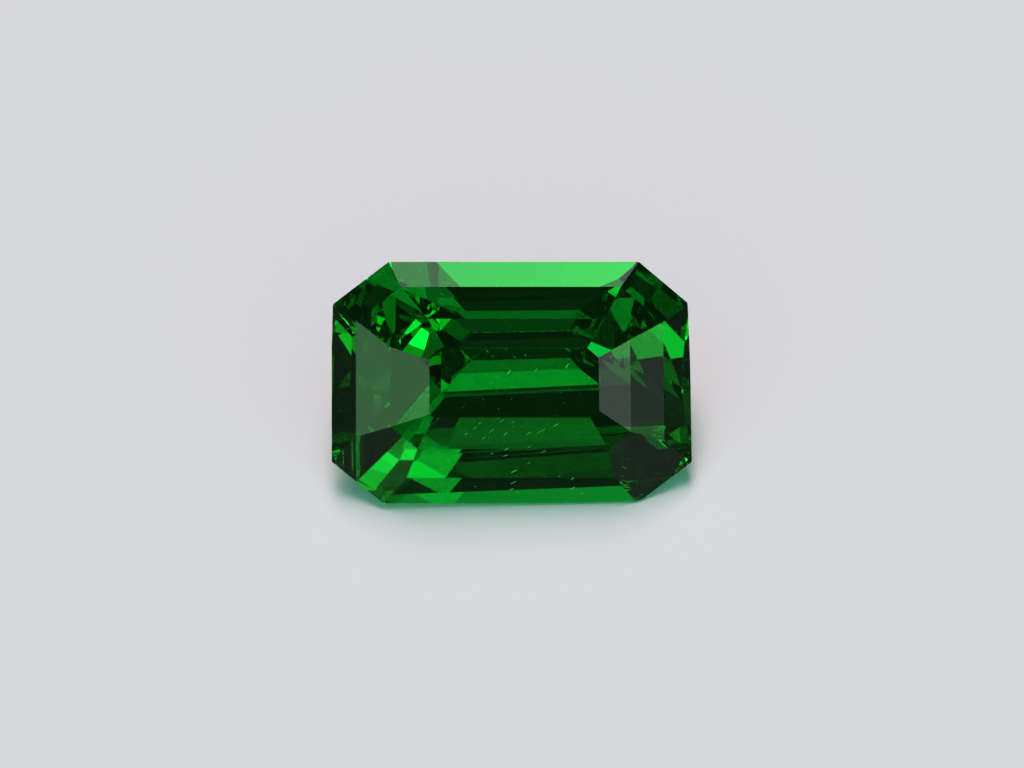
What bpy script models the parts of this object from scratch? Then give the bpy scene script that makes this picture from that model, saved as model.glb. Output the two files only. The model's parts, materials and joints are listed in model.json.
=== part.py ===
"""Cut tsavorite garnet: an elongated octagon in step cut, lying on one long facet of its pavilion.

The stone is made as a cutter makes it. A rough block is ground flat, one plane for each facet, first in the
stone's own frame (x along its length, y across it, z out through the table, the girdle's upper edge at z = 0).
It is then leant over onto the pavilion facet that it rests on, with the middle of its footprint at the origin.
"""

import math
from dataclasses import dataclass

import bmesh
import bpy
from mathutils import Matrix, Vector

MM = 0.001  # metres in a millimetre
COLLECTION_NAME = "tsavorite_garnet"
STONE_NAME = "tsavorite"

# Whole stone, in millimetres
ROUGH_BLOCK = (12.0, 9.0, 12.0)
CROWN_STEP_HEIGHTS = (0.58, 0.48, 0.33)  # outer, middle and inner row of crown facets
GIRDLE_THICKNESS = 0.05
MERGE = 1e-5  # corners closer than this to a facet's plane are taken as lying on it


@dataclass(frozen=True)
class Side:
    """One of the stone's eight sides, with its column of facets from the table down to the keel."""

    azimuth: float  # direction that the crown facets face, in degrees from +x
    girdle: float  # distance from the stone's middle to the girdle
    crown_insets: tuple[float, float, float]  # how far in each crown step's upper edge lies from its lower edge
    pavilion_slopes: tuple[float, ...]  # degrees from the girdle plane, girdle to keel
    pavilion_insets: tuple[float, ...]  # how far in each pavilion step but the last reaches
    pavilion_turn: float  # degrees by which the pavilion facets face round from the crown's


SIDES = {
    "right": Side(
        0.7, 4.985, (0.721, 0.899, 0.865), (72.1, 62.8, 48.5), (0.14, 1.41), 2.0
    ),
    "upper_right": Side(
        50.0, 4.845, (0.835, 0.950, 0.930), (52.3, 48.6, 40.2), (0.36, 0.86), -0.6
    ),
    "top": Side(
        90.0, 3.345, (0.692, 0.889, 0.811), (52.0, 50.6, 41.8), (1.61, 0.58), 0.5
    ),
    "upper_left": Side(
        127.0, 4.720, (0.775, 1.175, 0.940), (74.2, 71.1, 55.9), (0.42, 0.25), 0.4
    ),
    "left": Side(
        180.0, 4.990, (0.704, 0.980, 1.099), (48.3, 40.8, 40.1), (0.09, 0.79), -2.7
    ),
    "lower_left": Side(
        231.0, 4.855, (0.985, 0.830, 0.960), (75.9, 70.4, 61.4), (1.50, 1.48), 3.1
    ),
    "bottom": Side(
        270.0, 3.357, (0.704, 0.806, 0.872), (40.9, 39.1, 38.4), (0.65, 1.42), 2.8
    ),
    "lower_right": Side(
        307.0, 4.785, (0.905, 0.750, 0.990), (82.0, 71.1, 62.0), (0.72, 1.26), -0.7
    ),
}
RESTING_SIDE = "bottom"
RESTING_STEP = 2  # which of its pavilion facets lies on the ground, counted from 0 at the girdle


def direction(azimuth, slope, upward=1.0):
    """Outward normal of a facet that faces azimuth and slopes that many degrees from the girdle plane."""
    around = math.radians(azimuth)
    tilt = math.radians(slope)
    level = math.sin(tilt)
    return Vector((math.cos(around) * level, math.sin(around) * level, upward * math.cos(tilt)))


def grind(stone, point, normal):
    """Takes off all that stands outside one plane and closes the cut with a flat facet."""
    everything = stone.verts[:] + stone.edges[:] + stone.faces[:]
    cut = bmesh.ops.bisect_plane(
        stone, geom=everything, dist=MERGE, plane_co=point, plane_no=normal, clear_outer=True
    )
    rim = [item for item in cut["geom_cut"] if isinstance(item, bmesh.types.BMEdge)]
    open_rim = [edge for edge in rim if edge.is_boundary]
    if open_rim:
        bmesh.ops.edgeloop_fill(stone, edges=open_rim)


def grind_crown(stone, side):
    """Three facets from the girdle up to the table."""
    distance = side.girdle
    height = 0.0
    for inset, rise in zip(side.crown_insets, CROWN_STEP_HEIGHTS):
        foot = direction(side.azimuth, 90.0) * distance + Vector((0.0, 0.0, height))
        slope = math.degrees(math.atan2(rise, inset))
        grind(stone, foot, direction(side.azimuth, slope))
        distance -= inset
        height += rise


def grind_pavilion(stone, side):
    """Facets from the girdle down to the keel."""
    azimuth = side.azimuth + side.pavilion_turn
    distance = side.girdle
    height = -GIRDLE_THICKNESS
    for slope, inset in zip(side.pavilion_slopes, side.pavilion_insets + (0.0,)):
        head = direction(side.azimuth, 90.0) * distance + Vector((0.0, 0.0, height))
        grind(stone, head, direction(azimuth, slope, upward=-1.0))
        distance -= inset
        height -= inset * math.tan(math.radians(slope))


def cut_stone():
    """The finished stone in its own frame, in millimetres."""
    stone = bmesh.new()
    bmesh.ops.create_cube(stone, size=1.0, matrix=Matrix.Diagonal((*ROUGH_BLOCK, 1.0)))
    table_height = Vector((0.0, 0.0, sum(CROWN_STEP_HEIGHTS)))
    grind(stone, table_height, Vector((0.0, 0.0, 1.0)))
    for side in SIDES.values():
        girdle = direction(side.azimuth, 90.0)
        grind(stone, girdle * side.girdle, girdle)
        grind_crown(stone, side)
        grind_pavilion(stone, side)
    bmesh.ops.recalc_face_normals(stone, faces=stone.faces[:])
    return stone


def lay_down(stone):
    """Leans the stone onto its resting facet and puts the middle of its footprint at the origin, in metres."""
    side = SIDES[RESTING_SIDE]
    slope = side.pavilion_slopes[RESTING_STEP]
    resting = direction(side.azimuth + side.pavilion_turn, slope, upward=-1.0)
    lean = resting.rotation_difference(Vector((0.0, 0.0, -1.0)))
    stone.transform(lean.to_matrix().to_4x4())
    corners = [vert.co for vert in stone.verts]
    lowest = Vector([min(corner[axis] for corner in corners) for axis in range(3)])
    highest = Vector([max(corner[axis] for corner in corners) for axis in range(3)])
    middle = (lowest + highest) / 2.0
    stone.transform(Matrix.Translation((-middle.x, -middle.y, -lowest.z)))
    stone.transform(Matrix.Scale(MM, 4))


def garnet_material():
    """Clear, deeply coloured green garnet."""
    material = bpy.data.materials.new("garnet_green")
    material.use_nodes = True
    surface = material.node_tree.nodes["Principled BSDF"]
    surface.inputs["Base Color"].default_value = (0.012, 0.38, 0.06, 1.0)
    surface.inputs["Metallic"].default_value = 0.0
    surface.inputs["Roughness"].default_value = 0.02
    surface.inputs["IOR"].default_value = 1.74
    surface.inputs["Transmission Weight"].default_value = 1.0
    return material


def clear_scene():
    """Removes whatever objects the scene starts with."""
    for item in list(bpy.data.objects):
        bpy.data.objects.remove(item, do_unlink=True)


def main():
    clear_scene()
    collection = bpy.data.collections.new(COLLECTION_NAME)
    bpy.context.scene.collection.children.link(collection)
    stone = cut_stone()
    lay_down(stone)
    mesh = bpy.data.meshes.new(STONE_NAME)
    stone.to_mesh(mesh)
    stone.free()
    mesh.materials.append(garnet_material())
    collection.objects.link(bpy.data.objects.new(STONE_NAME, mesh))


if __name__ == "__main__":
    main()
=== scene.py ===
"""Looks of a cut tsavorite garnet that lies on one long pavilion facet on a plain pale floor.

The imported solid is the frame. This script gives it its clear green garnet, puts the fine needles and specks
inside it, and sets up the floor, the soft studio light and the camera that looks straight down on the table.
Lengths are in metres unless a name says otherwise. Light directions are given as the photographer sets them:
lean is the angle away from the line of sight onto the table, and clock is the way round it, with 0 at the
far side of the stone and 90 at its right end.
"""

import json
import logging
import math
from dataclasses import dataclass, field

import bmesh
import bpy
from mathutils import Matrix, Vector
from mathutils.bvhtree import BVHTree


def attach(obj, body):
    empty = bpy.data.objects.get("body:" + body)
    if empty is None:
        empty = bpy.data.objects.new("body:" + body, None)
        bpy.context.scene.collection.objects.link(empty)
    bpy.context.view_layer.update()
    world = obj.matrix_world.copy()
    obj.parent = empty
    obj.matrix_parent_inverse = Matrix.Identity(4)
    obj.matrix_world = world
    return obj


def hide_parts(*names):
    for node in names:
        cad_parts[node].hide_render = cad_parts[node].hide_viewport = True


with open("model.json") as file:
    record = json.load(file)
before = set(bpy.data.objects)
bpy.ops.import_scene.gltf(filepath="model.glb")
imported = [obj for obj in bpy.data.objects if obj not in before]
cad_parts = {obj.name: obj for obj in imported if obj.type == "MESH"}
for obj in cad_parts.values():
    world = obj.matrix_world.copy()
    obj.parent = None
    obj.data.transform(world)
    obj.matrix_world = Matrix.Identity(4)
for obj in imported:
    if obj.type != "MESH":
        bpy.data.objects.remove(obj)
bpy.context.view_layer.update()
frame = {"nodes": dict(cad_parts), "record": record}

MM = 0.001
BODY = "root"
STONE_NODE = "tsavorite"
FRAME_PIXELS = (1024, 768)
PIXELS_PER_MM = 36.0
STONE_MIDDLE_PIXEL = (511.5, 382.5)  # where the middle of the stone's outline falls in the frame
RANDOM_LEAST = 2  # sockets of the Random Value node that hold plain numbers
RANDOM_MOST = 3
RANDOM_RESULT = 1
JUST_OVER_ONE = 1.00001  # keeps a root above zero where a direction lies along the stone

log = logging.getLogger("tsavorite")


@dataclass(frozen=True)
class StoneAxes:
    """The stone's own axes in the world: along its length, across it, and out through the table."""

    along: Vector
    across: Vector
    out: Vector
    middle: Vector  # middle of the outline as seen square onto the table, at the table's height

    def place(self, length_mm: float, width_mm: float, depth_mm: float) -> Vector:
        """World point at these millimetres from the middle of the table, depth counted into the stone."""
        return self.middle + (self.along * length_mm + self.across * width_mm - self.out * depth_mm) * MM

    def towards(self, lean: float, clock: float) -> Vector:
        """Finds the world direction of a light.

        Args:
            lean: Degrees away from the table's normal.
            clock: Degrees round it, from the far side over the right end.

        Returns:
            The direction, one unit long.
        """
        tilt = math.radians(lean)
        around = math.radians(clock)
        level = self.across * math.cos(around) + self.along * math.sin(around)
        return (self.out * math.cos(tilt) + level * math.sin(tilt)).normalized()

    def turn(self) -> Matrix:
        """Rotation from the stone's own axes to the world's."""
        return Matrix((self.along, self.across, self.out)).transposed()


def read_axes() -> StoneAxes:
    """Finds the stone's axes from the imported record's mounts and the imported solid.

    Returns:
        The stone's axes, with the middle of its outline.
    """
    facing = {item["name"]: Vector(item["axis"]).normalized() for item in frame["record"]["mounts"]}
    out = facing["table"]
    along = facing["far_crown_facet"].cross(out).normalized()
    across = out.cross(along)
    corners = [vertex.co for vertex in frame["nodes"][STONE_NODE].data.vertices]
    lengths = [corner.dot(along) for corner in corners]
    widths = [corner.dot(across) for corner in corners]
    middle = (
        along * (min(lengths) + max(lengths)) / 2.0
        + across * (min(widths) + max(widths)) / 2.0
        + out * max(corner.dot(out) for corner in corners)
    )
    return StoneAxes(along, across, out, middle)


class Tree:
    """Small helper that adds nodes to a node tree and wires them."""

    def __init__(self, tree: bpy.types.NodeTree) -> None:
        """Keeps the tree that nodes are added to.

        Args:
            tree: The node tree to build.
        """
        self.tree = tree

    def add(self, kind: str, **settings: object) -> bpy.types.Node:
        """Adds one node.

        Args:
            kind: The node's type name.
            settings: Values for the node's own properties.

        Returns:
            The new node.
        """
        node = self.tree.nodes.new(kind)
        for name, value in settings.items():
            setattr(node, name, value)
        return node

    def wire(self, source: bpy.types.NodeSocket, target: bpy.types.NodeSocket) -> None:
        """Joins an output to an input."""
        self.tree.links.new(source, target)

    def maths(self, operation: str, *inputs: object) -> bpy.types.NodeSocket:
        """Adds a Math node.

        Args:
            operation: The node's operation.
            inputs: Sockets or plain numbers, in order.

        Returns:
            The node's output socket.
        """
        node = self.add("ShaderNodeMath", operation=operation)
        for socket, value in zip(node.inputs, inputs):
            if isinstance(value, bpy.types.NodeSocket):
                self.wire(value, socket)
            else:
                socket.default_value = value
        return node.outputs[0]


@dataclass(frozen=True)
class GarnetFinish:
    """Clear green grossular: its refraction, what each colour loses on the way through, and its polish."""

    name: str = "garnet_crystal"
    ior: float = 1.74
    entry_tint: tuple[float, float, float] = (0.012, 1.0, 0.10)  # what even a short way through leaves
    absorption_colour: tuple[float, float, float] = (0.60, 0.98, 0.92)
    absorption_density: float = 1000.0
    polish_line_scale: float = 9000.0
    polish_line_detail: float = 3.0
    polish_line_stretch: tuple[float, float, float] = (1.0, 0.06, 0.06)  # a small value draws the lines out
    polish_line_depth: float = 0.002 * MM
    polish_strength: float = 0.012

    def build(self, axes: StoneAxes) -> bpy.types.Material:
        """Makes the material.

        Args:
            axes: The stone's axes, from which the polishing lines are turned.

        Returns:
            The finished material.
        """
        material = bpy.data.materials.new(self.name)
        material.use_nodes = True
        tree = Tree(material.node_tree)
        surface = material.node_tree.nodes["Principled BSDF"]
        output = material.node_tree.nodes["Material Output"]
        surface.inputs["Base Color"].default_value = (*self.entry_tint, 1.0)
        surface.inputs["Roughness"].default_value = 0.0
        surface.inputs["IOR"].default_value = self.ior
        surface.inputs["Transmission Weight"].default_value = 1.0
        place = tree.add("ShaderNodeTexCoord")
        turn = tree.add("ShaderNodeMapping")
        turn.inputs["Rotation"].default_value = axes.turn().to_euler()
        tree.wire(place.outputs["Object"], turn.inputs["Vector"])
        lines = tree.add("ShaderNodeTexNoise")
        lines.inputs["Scale"].default_value = self.polish_line_scale
        lines.inputs["Detail"].default_value = self.polish_line_detail
        stretch = tree.add("ShaderNodeMapping")
        stretch.inputs["Scale"].default_value = self.polish_line_stretch
        tree.wire(turn.outputs["Vector"], stretch.inputs["Vector"])
        tree.wire(stretch.outputs["Vector"], lines.inputs["Vector"])
        bump = tree.add("ShaderNodeBump")
        bump.inputs["Strength"].default_value = self.polish_strength
        bump.inputs["Distance"].default_value = self.polish_line_depth
        tree.wire(lines.outputs["Fac"], bump.inputs["Height"])
        tree.wire(bump.outputs["Normal"], surface.inputs["Normal"])
        volume = tree.add("ShaderNodeVolumeAbsorption")
        volume.inputs["Color"].default_value = (*self.absorption_colour, 1.0)
        volume.inputs["Density"].default_value = self.absorption_density
        tree.wire(volume.outputs["Volume"], output.inputs["Volume"])
        return material


@dataclass
class Stone:
    """The cut stone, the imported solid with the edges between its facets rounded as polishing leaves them."""

    name: str = "cut_stone"
    edge_width: float = 0.024 * MM
    edge_steps: int = 2
    edge_profile: float = 0.5  # a round edge
    weld: float = 0.0001 * MM
    flat_angle: float = 0.3  # degrees within which two faces are one facet
    finish: GarnetFinish = field(default_factory=GarnetFinish)

    def build(self, axes: StoneAxes) -> bpy.types.Object:
        """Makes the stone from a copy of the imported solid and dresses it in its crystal.

        Args:
            axes: The stone's axes.

        Returns:
            The finished stone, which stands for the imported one.
        """
        shape = bmesh.new()
        shape.from_mesh(frame["nodes"][STONE_NODE].data)
        bmesh.ops.remove_doubles(shape, verts=shape.verts[:], dist=self.weld)
        bmesh.ops.dissolve_limit(
            shape, angle_limit=math.radians(self.flat_angle), verts=shape.verts[:], edges=shape.edges[:]
        )
        facets = len(shape.faces)
        for face in shape.faces:
            face.smooth = False
        bmesh.ops.bevel(
            shape,
            geom=shape.edges[:],
            offset=self.edge_width,
            offset_type="OFFSET",
            segments=self.edge_steps,
            profile=self.edge_profile,
            affect="EDGES",
            clamp_overlap=True,
        )
        mesh = bpy.data.meshes.new(self.name)
        shape.to_mesh(mesh)
        shape.free()
        if mesh.has_custom_normals:
            mesh.attributes.remove(mesh.attributes["custom_normal"])
        mesh.materials.append(self.finish.build(axes))
        stone = bpy.data.objects.new(self.name, mesh)
        bpy.context.scene.collection.objects.link(stone)
        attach(stone, BODY)
        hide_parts(STONE_NODE)
        faces = len(mesh.polygons)
        log.info("%s: %d facets, %d faces, refractive index %.2f", self.name, facets, faces, self.finish.ior)
        return stone


@dataclass(frozen=True)
class Needle:
    """One straight needle just under the surface, placed as it is seen from straight above the table.

    Lengths are in millimetres, along and across from the middle of the stone's outline.
    """

    along: float
    across: float
    length: float
    slant: float = 40.0  # degrees from the stone's length
    width: float = 0.010


@dataclass(frozen=True)
class SilkFinish:
    """Pale mineral needles inside the green crystal, which catch the light and also give off a painted glow of
    their own.
    """

    name: str = "pale_silk"
    bright: tuple[float, float, float] = (0.80, 1.0, 0.82)
    dull: tuple[float, float, float] = (0.45, 0.62, 0.46)
    roughness: float = 0.35
    # painted glow: the needles and specks give off light of their own, though they are no lamp
    glow: float = 0.55
    patch_scale: float = 9000.0

    def build(self) -> bpy.types.Material:
        """Makes the material.

        Returns:
            The finished material.
        """
        material = bpy.data.materials.new(self.name)
        material.use_nodes = True
        tree = Tree(material.node_tree)
        surface = material.node_tree.nodes["Principled BSDF"]
        surface.inputs["Roughness"].default_value = self.roughness
        # strength of the painted glow of the needles and specks
        surface.inputs["Emission Strength"].default_value = self.glow
        place = tree.add("ShaderNodeTexCoord")
        patches = tree.add("ShaderNodeTexNoise")
        patches.inputs["Scale"].default_value = self.patch_scale
        tree.wire(place.outputs["Object"], patches.inputs["Vector"])
        tint = tree.add("ShaderNodeMix", data_type="RGBA")
        tint.inputs["A"].default_value = (*self.dull, 1.0)
        tint.inputs["B"].default_value = (*self.bright, 1.0)
        tree.wire(patches.outputs["Fac"], tint.inputs["Factor"])
        tree.wire(tint.outputs["Result"], surface.inputs["Base Color"])
        # the painted glow takes the same pale patches as the needles' own colour
        tree.wire(tint.outputs["Result"], surface.inputs["Emission Color"])
        return material


@dataclass
class Silk:
    """Needles and fine specks grown inside the stone, strewn by geometry nodes."""

    name: str = "silk_needles"
    finish: SilkFinish = field(default_factory=SilkFinish)
    needles: tuple[Needle, ...] = (
        Needle(-0.01, 0.29, 0.20, 48.0, 0.022),
        Needle(1.60, 0.46, 0.18, 60.0, 0.024),
        Needle(0.74, 0.35, 0.14, 50.0),
        Needle(0.10, -2.43, 0.22, 30.0, 0.026),
        Needle(0.10, -1.07, 0.10),
        Needle(-0.21, -1.04, 0.14),
        Needle(-0.12, -1.40, 0.17, 45.0, 0.014),
        Needle(-0.51, -1.32, 0.20, 50.0),
        Needle(0.88, -1.32, 0.28, 28.0),
        Needle(0.54, -1.38, 0.21, 35.0),
        Needle(1.29, -1.15, 0.22, 35.0, 0.014),
        Needle(-0.96, -1.24, 0.14),
        Needle(-0.82, -1.10, 0.11),
        Needle(-1.21, -1.40, 0.13),
        Needle(-0.71, -1.51, 0.15),
        Needle(0.54, -1.76, 0.14, 30.0),
        Needle(-0.10, -1.82, 0.18, 30.0, 0.014),
        Needle(0.93, -1.88, 0.18, 25.0),
        Needle(-0.12, -1.99, 0.17, 25.0, 0.014),
        Needle(-0.50, -1.93, 0.10),
        Needle(0.51, -2.21, 0.11),
        Needle(0.07, -2.74, 0.21, 32.0, 0.014),
        Needle(0.01, -2.93, 0.20, 32.0, 0.016),
        Needle(1.71, -2.63, 0.11, 40.0, 0.018),
        Needle(1.71, -2.90, 0.18, 35.0, 0.018),
        Needle(1.35, -2.57, 0.08),
        Needle(1.96, -3.04, 0.14, 30.0, 0.014),
        Needle(0.18, -3.01, 0.11),
        Needle(-0.99, -2.85, 0.08),
    )
    under_surface: float = 0.15  # this and the sizes below are in millimetres
    start_above: float = 1.0  # height over the table from which each needle's depth is measured
    spindle_radius: float = 0.5  # a spindle is one unit long and wide before it is sized
    spindle_rounds: int = 1
    speck_count: int = 32
    speck_width: float = 0.009
    speck_lowest: tuple[float, float, float] = (-2.4, -1.6, -2.0)
    speck_highest: tuple[float, float, float] = (2.4, 0.9, -0.3)
    speck_sizes: tuple[float, float] = (0.01, 0.04)
    speck_slants: tuple[float, float] = (25.0, 60.0)  # degrees from the stone's length
    seed: int = 7

    def build(self, axes: StoneAxes) -> bpy.types.Object:
        """Grows the needles and fixes them to the stone.

        Args:
            axes: The stone's axes.

        Returns:
            The finished piece, one mesh.
        """
        mesh = bpy.data.meshes.new("needle_places")
        mesh.from_pydata(self._places(axes), [], [])
        lengths = mesh.attributes.new("needle_length", "FLOAT", "POINT")
        widths = mesh.attributes.new("needle_width", "FLOAT", "POINT")
        slants = mesh.attributes.new("needle_slant", "FLOAT", "POINT")
        for index, one in enumerate(self.needles):
            lengths.data[index].value = one.length
            widths.data[index].value = one.width
            slants.data[index].value = math.radians(one.slant)
        places = bpy.data.objects.new("needle_places", mesh)
        bpy.context.scene.collection.objects.link(places)
        grow = places.modifiers.new("grow", "NODES")
        grow.node_group = self._tree(self.finish.build())
        chosen = {
            "Speck Count": self.speck_count,
            "Speck Width": self.speck_width,
            "Speck Lowest": self.speck_lowest,
            "Speck Highest": self.speck_highest,
            "Speck Shortest": self.speck_sizes[0],
            "Speck Longest": self.speck_sizes[1],
            "Seed": self.seed,
        }
        for item in grow.node_group.interface.items_tree:
            if item.name in chosen and item.in_out == "INPUT":
                grow[item.identifier] = chosen[item.name]
        depsgraph = bpy.context.evaluated_depsgraph_get()
        grown = bpy.data.meshes.new_from_object(places.evaluated_get(depsgraph), depsgraph=depsgraph)
        bpy.data.objects.remove(places, do_unlink=True)
        grown.transform(Matrix.Translation(axes.middle) @ axes.turn().to_4x4() @ Matrix.Scale(MM, 4))
        grown.name = self.name
        silk = bpy.data.objects.new(self.name, grown)
        bpy.context.scene.collection.objects.link(silk)
        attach(silk, BODY)
        faces = len(grown.polygons)
        log.info("%s: %d needles, %d specks, %d faces", self.name, len(self.needles), self.speck_count, faces)
        return silk

    def _places(self, axes: StoneAxes) -> list[tuple[float, float, float]]:
        """Finds how deep each needle lies, a little under the facet that it is seen through.

        Args:
            axes: The stone's axes.

        Returns:
            Each needle's middle in the stone's own millimetres.
        """
        solid = frame["nodes"][STONE_NODE].data
        surface = BVHTree.FromPolygons(
            [vertex.co for vertex in solid.vertices], [tuple(face.vertices) for face in solid.polygons]
        )
        places = []
        for one in self.needles:
            start = axes.place(one.along, one.across, -self.start_above)
            _, _, _, distance = surface.ray_cast(start, -axes.out)
            depth = distance / MM - self.start_above + self.under_surface
            places.append((one.along, one.across, -depth))
        return places

    def _tree(self, material: bpy.types.Material) -> bpy.types.NodeTree:
        """Node tree that puts a spindle on each needle's place and strews specks in a box round the middle.

        Args:
            material: The finish of the needles.

        Returns:
            The node tree.
        """
        group = bpy.data.node_groups.new("grow_silk", "GeometryNodeTree")
        settings = {
            "Geometry": "NodeSocketGeometry",
            "Speck Count": "NodeSocketInt",
            "Speck Width": "NodeSocketFloat",
            "Speck Lowest": "NodeSocketVector",
            "Speck Highest": "NodeSocketVector",
            "Speck Shortest": "NodeSocketFloat",
            "Speck Longest": "NodeSocketFloat",
            "Seed": "NodeSocketInt",
        }
        for name, kind in settings.items():
            group.interface.new_socket(name, in_out="INPUT", socket_type=kind)
        group.interface.new_socket("Geometry", in_out="OUTPUT", socket_type="NodeSocketGeometry")
        tree = Tree(group)
        given = tree.add("NodeGroupInput").outputs
        spindle = tree.add("GeometryNodeMeshIcoSphere")
        spindle.inputs["Subdivisions"].default_value = self.spindle_rounds
        spindle.inputs["Radius"].default_value = self.spindle_radius
        needles = self._needle_spindles(tree, spindle, given)
        specks = self._speck_spindles(tree, spindle, given)
        joined = tree.add("GeometryNodeJoinGeometry")
        tree.wire(specks, joined.inputs["Geometry"])
        tree.wire(needles, joined.inputs["Geometry"])
        solid = tree.add("GeometryNodeRealizeInstances")
        tree.wire(joined.outputs["Geometry"], solid.inputs["Geometry"])
        dressed = tree.add("GeometryNodeSetMaterial")
        dressed.inputs["Material"].default_value = material
        tree.wire(solid.outputs["Geometry"], dressed.inputs["Geometry"])
        result = tree.add("NodeGroupOutput")
        tree.wire(dressed.outputs["Geometry"], result.inputs["Geometry"])
        return group

    def _needle_spindles(
        self, tree: Tree, spindle: bpy.types.Node, given: bpy.types.NodeOutputs
    ) -> bpy.types.NodeSocket:
        """Puts a spindle on each needle's place, in the needle's own size and slant.

        Args:
            tree: The node tree being built.
            spindle: Node that makes the spindle.
            given: The group's inputs.

        Returns:
            The needles, as instances.
        """
        points = tree.add("GeometryNodeMeshToPoints")
        tree.wire(given["Geometry"], points.inputs["Mesh"])
        shape = []
        for name in ("needle_width", "needle_length", "needle_slant"):
            stored = tree.add("GeometryNodeInputNamedAttribute", data_type="FLOAT")
            stored.inputs["Name"].default_value = name
            shape.append(stored.outputs["Attribute"])
        return self._spindles(tree, spindle, points.outputs["Points"], *shape)

    def _speck_spindles(
        self, tree: Tree, spindle: bpy.types.Node, given: bpy.types.NodeOutputs
    ) -> bpy.types.NodeSocket:
        """Strews specks in a box round the middle of the stone.

        Args:
            tree: The node tree being built.
            spindle: Node that makes the spindle.
            given: The group's inputs.

        Returns:
            The specks, as instances.
        """
        spot = tree.add("FunctionNodeRandomValue", data_type="FLOAT_VECTOR")
        tree.wire(given["Speck Lowest"], spot.inputs["Min"])
        tree.wire(given["Speck Highest"], spot.inputs["Max"])
        tree.wire(given["Seed"], spot.inputs["Seed"])
        strewn = tree.add("GeometryNodePoints")
        tree.wire(given["Speck Count"], strewn.inputs["Count"])
        tree.wire(spot.outputs["Value"], strewn.inputs["Position"])
        size = tree.add("FunctionNodeRandomValue", data_type="FLOAT")
        tree.wire(given["Speck Shortest"], size.inputs[RANDOM_LEAST])
        tree.wire(given["Speck Longest"], size.inputs[RANDOM_MOST])
        tree.wire(given["Seed"], size.inputs["Seed"])
        slant = tree.add("FunctionNodeRandomValue", data_type="FLOAT")
        slant.inputs[RANDOM_LEAST].default_value = math.radians(self.speck_slants[0])
        slant.inputs[RANDOM_MOST].default_value = math.radians(self.speck_slants[1])
        tree.wire(given["Seed"], slant.inputs["Seed"])
        return self._spindles(
            tree,
            spindle,
            strewn.outputs["Geometry"],
            given["Speck Width"],
            size.outputs[RANDOM_RESULT],
            slant.outputs[RANDOM_RESULT],
        )

    def _spindles(
        self,
        tree: Tree,
        spindle: bpy.types.Node,
        points: bpy.types.NodeSocket,
        thickness: bpy.types.NodeSocket,
        length: bpy.types.NodeSocket,
        slant: bpy.types.NodeSocket,
    ) -> bpy.types.NodeSocket:
        """Puts a spindle on each point, lying level under the table.

        Args:
            tree: The node tree being built.
            spindle: Node that makes the spindle, one unit long and wide.
            points: The points.
            thickness: Width of each spindle.
            length: Length of each spindle.
            slant: Angle of each spindle from the stone's length.

        Returns:
            The spindles, as instances.
        """
        turn = tree.add("ShaderNodeCombineXYZ")
        turn.inputs["Y"].default_value = math.pi / 2.0
        tree.wire(slant, turn.inputs["Z"])
        rotation = tree.add("FunctionNodeEulerToRotation")
        tree.wire(turn.outputs["Vector"], rotation.inputs["Euler"])
        scale = tree.add("ShaderNodeCombineXYZ")
        tree.wire(thickness, scale.inputs["X"])
        tree.wire(thickness, scale.inputs["Y"])
        tree.wire(length, scale.inputs["Z"])
        placed = tree.add("GeometryNodeInstanceOnPoints")
        tree.wire(points, placed.inputs["Points"])
        tree.wire(spindle.outputs["Mesh"], placed.inputs["Instance"])
        tree.wire(rotation.outputs["Rotation"], placed.inputs["Rotation"])
        tree.wire(scale.outputs["Vector"], placed.inputs["Scale"])
        return placed.outputs["Instances"]


@dataclass(frozen=True)
class SoftLight:
    """One soft round light on a dome round the stone."""

    name: str
    lean: float  # degrees, as the top of this file says
    clock: float
    radius: float  # degrees from its middle to half its brightness
    strength: float


@dataclass(frozen=True)
class BarLight:
    """One soft bar of light that lies parallel to the stone's length."""

    name: str
    turn: float  # degrees from the line of sight over to the far side, round the stone's length
    half_width: float  # degrees from its middle line to half its brightness
    middle: float  # degrees towards the stone's right end
    half_length: float
    strength: float


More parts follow.
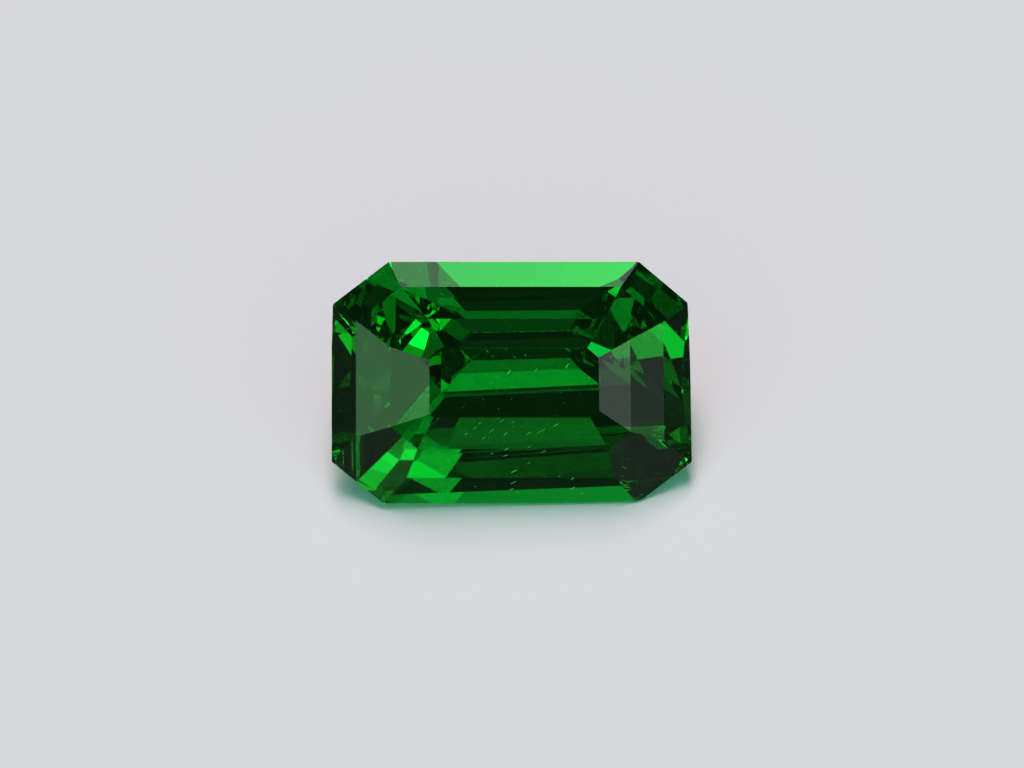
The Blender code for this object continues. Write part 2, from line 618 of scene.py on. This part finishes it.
@dataclass
class Studio:
    """Floor, light and camera."""

    floor_side: float = 0.8
    floor_gap: float = 0.01 * MM
    floor_colour: tuple[float, float, float] = (0.69, 0.694, 0.723)
    floor_roughness: float = 0.9
    camera_distance: float = 0.80
    camera_tip: tuple[float, float] = (-2.6, -0.2)  # degrees to the stone's right and far side
    girdle_below_table: float = 1.39
    sensor_width: float = 36.0
    nearest_seen: float = 0.01
    farthest_seen: float = 10.0
    dome_dark: float = 0.011  # between the patches that are seen through the stone
    light_edge: float = 6.0  # degrees over which every light fades
    backdrop_colour: tuple[float, float, float] = (0.62, 0.63, 0.66)  # seen past the floor's far edge
    light_colour: tuple[float, float, float] = (0.92, 0.97, 1.03)
    room_colour: tuple[float, float, float] = (0.26, 0.65, 0.54)  # light of the near side on the floor
    room_middle: tuple[float, float, float] = (0.0, -0.80, 0.60)  # towards the room's brightest part
    room_start: float = -0.30  # cosine of the angle from its middle at which the room's light begins
    window_colour: tuple[float, float, float] = (12.26, 9.31, 10.17)  # gives the floor its pale grey
    window_middle: tuple[float, float, float] = (-0.03, 0.45, 0.90)  # high on the far side
    window_start: float = 0.84  # cosine of the angle from its middle at which the window begins
    window_narrowing: float = 1.5  # how much sooner it ends to the left and right
    floor_mottle: float = 0.012
    floor_mottle_scale: float = 2500.0
    floor_mottle_detail: float = 3.0
    clear_bounces: int = 32
    mirror_bounces: int = 16
    floor_bounces: int = 3
    brightest_bounce: float = 6.0
    lights: tuple[SoftLight, ...] = (
        SoftLight("low left card", 115, 280, 12, 3.0),
        SoftLight("low near card", 118, 165, 20, 2.2),
        SoftLight("level far card", 88, 15, 25, 0.7),
        SoftLight("low right card", 120, 60, 30, 1.8),
        SoftLight("card under the near side", 138, 180, 10, 3.5),
        SoftLight("card under the far side", 130, 0, 25, 0.8),
        SoftLight("near right card", 115, 130, 15, 1.5),
        SoftLight("far right card", 70, 50, 20, 1.0),
    )
    bars: tuple[BarLight, ...] = (
        BarLight("strip on the far side", 36, 5, 0, 35, 0.6),
        BarLight("strip overhead", -5, 12, 0, 80, 0.1),
    )
    mirror_dark: float = 0.02  # between the patches that the polished faces mirror
    mirror_lights: tuple[SoftLight, ...] = (
        SoftLight("far window for the top facet", 80, 0, 17, 0.92),
        SoftLight("left card", 42, 268, 16, 0.54),
        SoftLight("right card", 41, 91, 8, 0.68),
        SoftLight("right card's edge", 56, 91, 8, 0.25),
        SoftLight("mirrored near right card", 62, 142, 14, 0.11),
        SoftLight("near left card", 60, 218, 14, 0.09),
        SoftLight("near card", 60, 182, 34, 0.022),
        SoftLight("mirrored low left card", 82, 270, 12, 0.04),
        SoftLight("low right card", 77, 90, 10, 0.04),
    )

    def lay_floor(self) -> None:
        """Plain pale floor just under the stone, which the light inside the stone looks past."""
        half = self.floor_side / 2.0
        mesh = bpy.data.meshes.new("floor")
        corners = [(-half, -half), (half, -half), (half, half), (-half, half)]
        mesh.from_pydata([(x, y, -self.floor_gap) for x, y in corners], [], [(0, 1, 2, 3)])
        floor = bpy.data.objects.new("floor", mesh)
        bpy.context.scene.collection.objects.link(floor)
        floor.visible_transmission = False
        floor.visible_glossy = False
        material = bpy.data.materials.new("pale_floor")
        material.use_nodes = True
        surface = material.node_tree.nodes["Principled BSDF"]
        surface.inputs["Roughness"].default_value = self.floor_roughness
        surface.inputs["Specular IOR Level"].default_value = 0.0
        tree = Tree(material.node_tree)
        place = tree.add("ShaderNodeTexCoord")
        mottle = tree.add("ShaderNodeTexNoise")
        mottle.inputs["Scale"].default_value = self.floor_mottle_scale
        mottle.inputs["Detail"].default_value = self.floor_mottle_detail
        tree.wire(place.outputs["Object"], mottle.inputs["Vector"])
        tint = tree.add("ShaderNodeMix", data_type="RGBA")
        darker = [part * (1.0 - self.floor_mottle) for part in self.floor_colour]
        paler = [part * (1.0 + self.floor_mottle) for part in self.floor_colour]
        tint.inputs["A"].default_value = (*darker, 1.0)
        tint.inputs["B"].default_value = (*paler, 1.0)
        tree.wire(mottle.outputs["Fac"], tint.inputs["Factor"])
        tree.wire(tint.outputs["Result"], surface.inputs["Base Color"])
        mesh.materials.append(material)
        log.info("floor: %.2f m square", self.floor_side)

    def light_dome(self, axes: StoneAxes) -> None:
        """Plain light of the room for the floor, and soft patches of light for the polished stone.

        The light that the crown's faces mirror and the light that comes through the stone have patches of
        their own, as when a photographer shades one from the other.

        Args:
            axes: The stone's axes, from which each light's direction is counted.
        """
        world = bpy.data.worlds.new("studio")
        bpy.context.scene.world = world
        world.use_nodes = True
        tree = Tree(world.node_tree)
        background = world.node_tree.nodes["Background"]
        looking = tree.add("ShaderNodeTexCoord").outputs["Generated"]
        path = tree.add("ShaderNodeLightPath")
        stone_light = self._stone_light(tree, looking, path, axes)
        floor_light = self._floor_light(tree, looking)
        from_floor = tree.maths("MINIMUM", path.outputs["Diffuse Depth"], 1.0)
        not_from_floor = tree.maths("SUBTRACT", 1.0, from_floor)
        by_stone = tree.maths("MULTIPLY", path.outputs["Is Glossy Ray"], not_from_floor)
        either = tree.add("ShaderNodeMix", data_type="RGBA")
        tree.wire(by_stone, either.inputs["Factor"])
        tree.wire(floor_light, either.inputs["A"])
        tree.wire(stone_light, either.inputs["B"])
        seen = tree.add("ShaderNodeMix", data_type="RGBA")
        seen.inputs["B"].default_value = (*self.backdrop_colour, 1.0)
        tree.wire(path.outputs["Is Camera Ray"], seen.inputs["Factor"])
        tree.wire(either.outputs["Result"], seen.inputs["A"])
        tree.wire(seen.outputs["Result"], background.inputs["Color"])

    def _stone_light(
        self, tree: Tree, looking: bpy.types.NodeSocket, path: bpy.types.Node, axes: StoneAxes
    ) -> bpy.types.NodeSocket:
        """Light that reaches the stone: one set of patches is mirrored, the other comes through.

        Args:
            tree: The world's node tree.
            looking: The direction that is looked at.
            path: Node that tells what a ray has met.
            axes: The stone's axes.

        Returns:
            The colour of the light in the direction that is looked at.
        """
        through = self._patches(tree, looking, axes, self.lights, self.dome_dark)
        for bar in self.bars:
            through = tree.maths("ADD", through, self._bar(tree, looking, bar, axes))
            log.info("%s: turned %.0f degrees over", bar.name, bar.turn)
        mirrored = self._patches(tree, looking, axes, self.mirror_lights, self.mirror_dark)
        entered = tree.maths("MINIMUM", path.outputs["Transmission Depth"], 1.0)
        total = tree.add("ShaderNodeMix", data_type="FLOAT")
        tree.wire(entered, total.inputs["Factor"])
        tree.wire(mirrored, total.inputs["A"])
        tree.wire(through, total.inputs["B"])
        tint = tree.add("ShaderNodeVectorMath", operation="SCALE")
        tint.inputs[0].default_value = self.light_colour
        tree.wire(total.outputs["Result"], tint.inputs["Scale"])
        return tint.outputs["Vector"]

    def _floor_light(self, tree: Tree, looking: bpy.types.NodeSocket) -> bpy.types.NodeSocket:
        """Light that reaches the floor: a tall soft window on the far side and the room on the near side.

        Args:
            tree: The world's node tree.
            looking: The direction that is looked at.

        Returns:
            The colour of the light in the direction that is looked at.
        """
        apart = tree.add("ShaderNodeSeparateXYZ")
        tree.wire(looking, apart.inputs["Vector"])
        sideways = tree.maths("MULTIPLY", apart.outputs["X"], apart.outputs["X"])
        narrowed = tree.maths("MULTIPLY", sideways, self.window_narrowing)
        facing = self._dot(tree, looking, Vector(self.window_middle).normalized())
        window = tree.add("ShaderNodeMapRange", interpolation_type="SMOOTHSTEP")
        window.inputs["From Min"].default_value = self.window_start
        tree.wire(tree.maths("SUBTRACT", facing, narrowed), window.inputs["Value"])
        near = tree.add("ShaderNodeMapRange", interpolation_type="SMOOTHSTEP")
        near.inputs["From Min"].default_value = self.room_start
        tree.wire(self._dot(tree, looking, Vector(self.room_middle).normalized()), near.inputs["Value"])
        glow = tree.add("ShaderNodeVectorMath", operation="SCALE")
        glow.inputs[0].default_value = self.room_colour
        tree.wire(near.outputs["Result"], glow.inputs["Scale"])
        room = tree.add("ShaderNodeMix", data_type="RGBA")
        room.inputs["B"].default_value = (*self.window_colour, 1.0)
        tree.wire(glow.outputs["Vector"], room.inputs["A"])
        tree.wire(window.outputs["Result"], room.inputs["Factor"])
        return room.outputs["Result"]

    def _patches(
        self,
        tree: Tree,
        looking: bpy.types.NodeSocket,
        axes: StoneAxes,
        lights: tuple[SoftLight, ...],
        dark: float,
    ) -> bpy.types.NodeSocket:
        """Sum of several round lights.

        Args:
            tree: The world's node tree.
            looking: The direction that is looked at.
            axes: The stone's axes.
            lights: The round lights.
            dark: Brightness between the lights.

        Returns:
            The brightness in the direction that is looked at.
        """
        total: float | bpy.types.NodeSocket = dark
        for light in lights:
            middle = axes.towards(light.lean, light.clock)
            shine = self._shine(tree, self._dot(tree, looking, middle), light.radius, light.strength)
            total = tree.maths("ADD", total, shine)
            log.info("%s: lean %.0f, clock %.0f degrees", light.name, light.lean, light.clock)
        return total

    def _dot(self, tree: Tree, looking: bpy.types.NodeSocket, axis: Vector) -> bpy.types.NodeSocket:
        """Cosine of the angle between the direction that is looked at and an axis.

        Args:
            tree: The world's node tree.
            looking: The direction that is looked at.
            axis: The axis, one unit long.

        Returns:
            The cosine.
        """
        facing = tree.add("ShaderNodeVectorMath", operation="DOT_PRODUCT")
        facing.inputs[1].default_value = axis
        tree.wire(looking, facing.inputs[0])
        return facing.outputs["Value"]

    def _shine(
        self, tree: Tree, cosine: bpy.types.NodeSocket, reach: float, strength: float
    ) -> bpy.types.NodeSocket:
        """Brightness that is full near an axis and fades at an angle from it.

        Args:
            tree: The world's node tree.
            cosine: Cosine of the angle from the axis.
            reach: Angle at half brightness, in degrees.
            strength: Full brightness.

        Returns:
            The brightness.
        """
        half_edge = self.light_edge / 2.0
        fade = tree.add("ShaderNodeMapRange", interpolation_type="SMOOTHSTEP")
        fade.inputs["From Min"].default_value = math.cos(math.radians(reach + half_edge))
        fade.inputs["From Max"].default_value = math.cos(math.radians(max(reach - half_edge, 0.0)))
        fade.inputs["To Max"].default_value = strength
        tree.wire(cosine, fade.inputs["Value"])
        return fade.outputs["Result"]

    def _bar(
        self, tree: Tree, looking: bpy.types.NodeSocket, bar: BarLight, axes: StoneAxes
    ) -> bpy.types.NodeSocket:
        """Brightness of one bar of light in the direction that is looked at.

        Args:
            tree: The world's node tree.
            looking: The direction that is looked at.
            bar: The bar.
            axes: The stone's axes.

        Returns:
            The bar's brightness there.
        """
        along = self._dot(tree, looking, axes.along)
        squared = tree.maths("MULTIPLY", along, along)
        ring = tree.maths("SQRT", tree.maths("SUBTRACT", JUST_OVER_ONE, squared))
        facing = self._dot(tree, looking, axes.towards(bar.turn, 0.0))
        over = self._shine(tree, tree.maths("DIVIDE", facing, ring), bar.half_width, bar.strength)
        angle = tree.maths("SUBTRACT", tree.maths("ARCSINE", along), math.radians(bar.middle))
        beside = self._shine(tree, tree.maths("COSINE", angle), bar.half_length, 1.0)
        return tree.maths("MULTIPLY", over, beside)

    def set_camera(self, axes: StoneAxes) -> None:
        """Camera that looks down on the table through a long lens, very nearly square to it.

        Args:
            axes: The stone's axes.
        """
        data = bpy.data.cameras.new("camera")
        frame_width = FRAME_PIXELS[0] / PIXELS_PER_MM * MM
        data.sensor_width = self.sensor_width
        data.lens = self.sensor_width * self.camera_distance / frame_width
        data.clip_start = self.nearest_seen
        data.clip_end = self.farthest_seen
        camera = bpy.data.objects.new("camera", data)
        bpy.context.scene.collection.objects.link(camera)
        right_of_middle = (FRAME_PIXELS[0] / 2.0 - STONE_MIDDLE_PIXEL[0]) / PIXELS_PER_MM
        above_middle = (STONE_MIDDLE_PIXEL[1] - FRAME_PIXELS[1] / 2.0) / PIXELS_PER_MM
        target = axes.place(right_of_middle, above_middle, self.girdle_below_table)
        tip_right, tip_up = (math.sin(math.radians(angle)) for angle in self.camera_tip)
        backwards = (axes.out - axes.along * tip_right - axes.across * tip_up).normalized()
        rightwards = axes.across.cross(backwards).normalized()
        upwards = backwards.cross(rightwards)
        camera.location = target + backwards * self.camera_distance
        camera.rotation_mode = "QUATERNION"
        camera.rotation_quaternion = Matrix((rightwards, upwards, backwards)).transposed().to_quaternion()
        bpy.context.scene.camera = camera
        log.info("camera: lens %.0f mm at %.2f m", data.lens, self.camera_distance)

    def set_colours(self) -> None:
        """Plain colour management and enough bounces for the light inside the stone."""
        scene = bpy.context.scene
        scene.view_settings.view_transform = "Standard"
        scene.view_settings.look = "None"
        scene.render.film_transparent = False
        scene.cycles.max_bounces = self.clear_bounces
        scene.cycles.transmission_bounces = self.clear_bounces
        scene.cycles.glossy_bounces = self.mirror_bounces
        scene.cycles.diffuse_bounces = self.floor_bounces
        scene.cycles.sample_clamp_indirect = self.brightest_bounce
        scene.cycles.use_denoising = True


def main() -> None:
    """Builds the stone's looks and the studio."""
    logging.basicConfig(level=logging.INFO, format="%(message)s")
    axes = read_axes()
    Stone().build(axes)
    Silk().build(axes)
    studio = Studio()
    studio.lay_floor()
    studio.light_dome(axes)
    studio.set_camera(axes)
    studio.set_colours()


if __name__ == "__main__":
    main()
